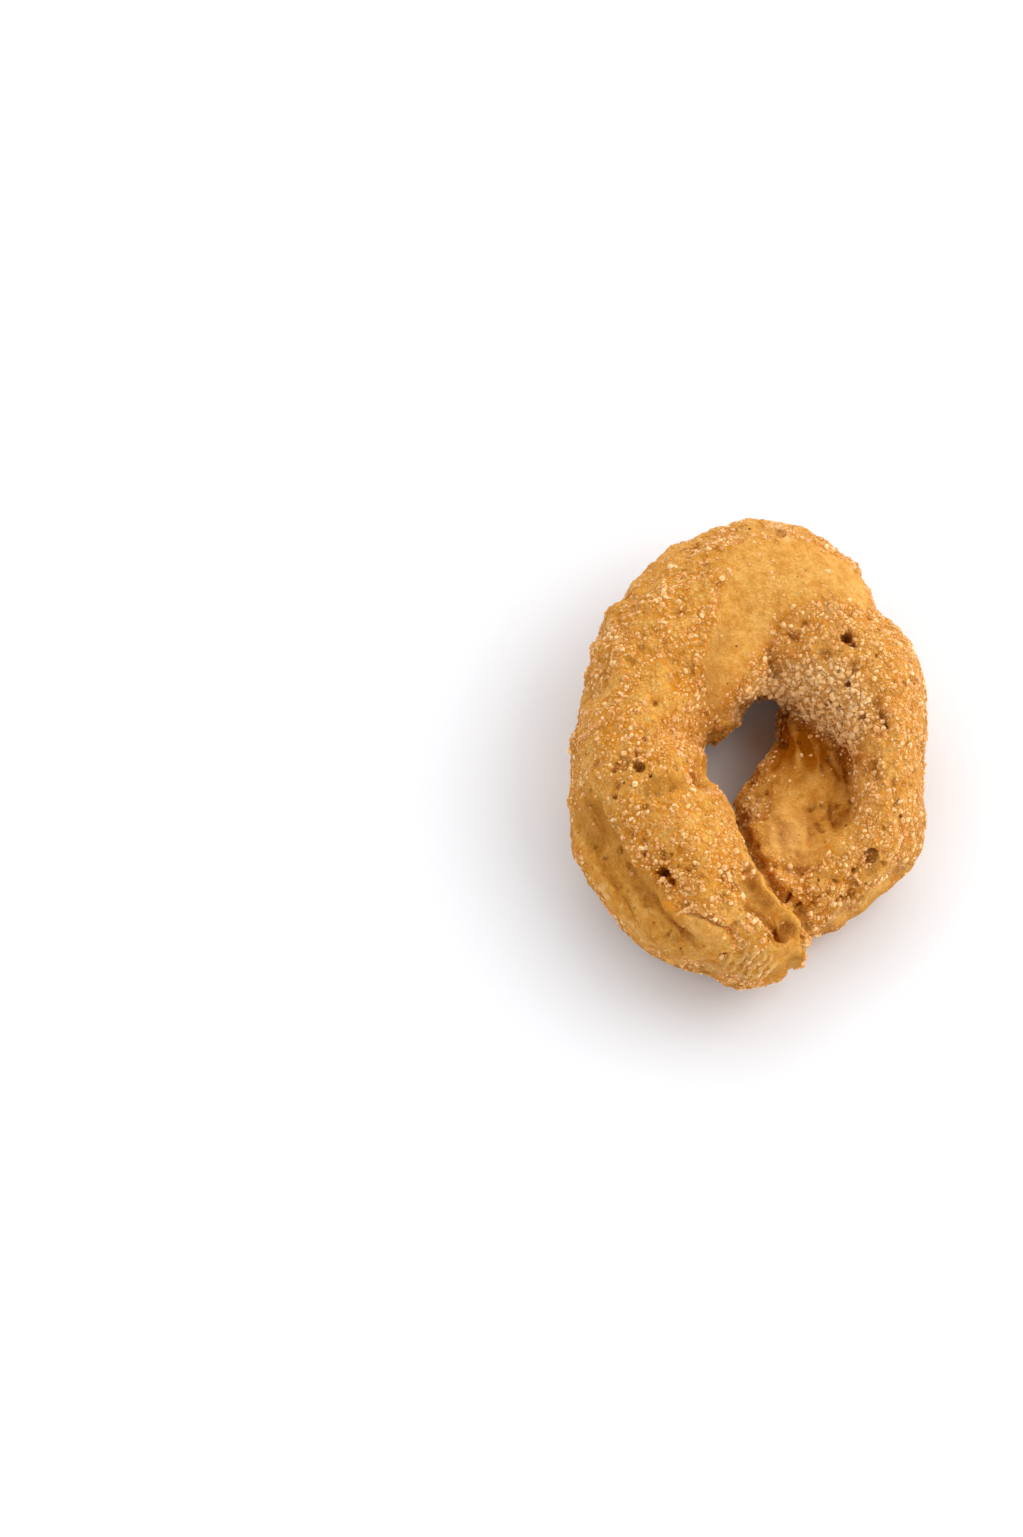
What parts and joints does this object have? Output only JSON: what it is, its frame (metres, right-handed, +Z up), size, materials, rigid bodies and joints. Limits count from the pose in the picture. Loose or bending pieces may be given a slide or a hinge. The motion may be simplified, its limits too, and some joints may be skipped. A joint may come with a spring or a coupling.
{
  "type": "tarallo",
  "caption": "Sugared tarallo: an oval ring of baked dough with lapped ends, twist folds and a coarse sugar coat, lying flat.",
  "frame": {"origin": "under the middle of the ring, on the surface that it lies on", "axes": "+Z up, +Y towards the broad top lobe along the ring's length, +X towards the narrow sugared side"},
  "size_m": [0.0518, 0.0702, 0.0216],
  "materials": {
    "baked_dough": "golden brown baked dough, matt, with a thin pale film of sugar and burst bubbles",
    "sugar": "coarse clear to cream sugar crystals, toasted at their edges"
  },
  "bodies": {
    "root": {"tarallo": "baked_dough"}
  },
  "joints": []
}
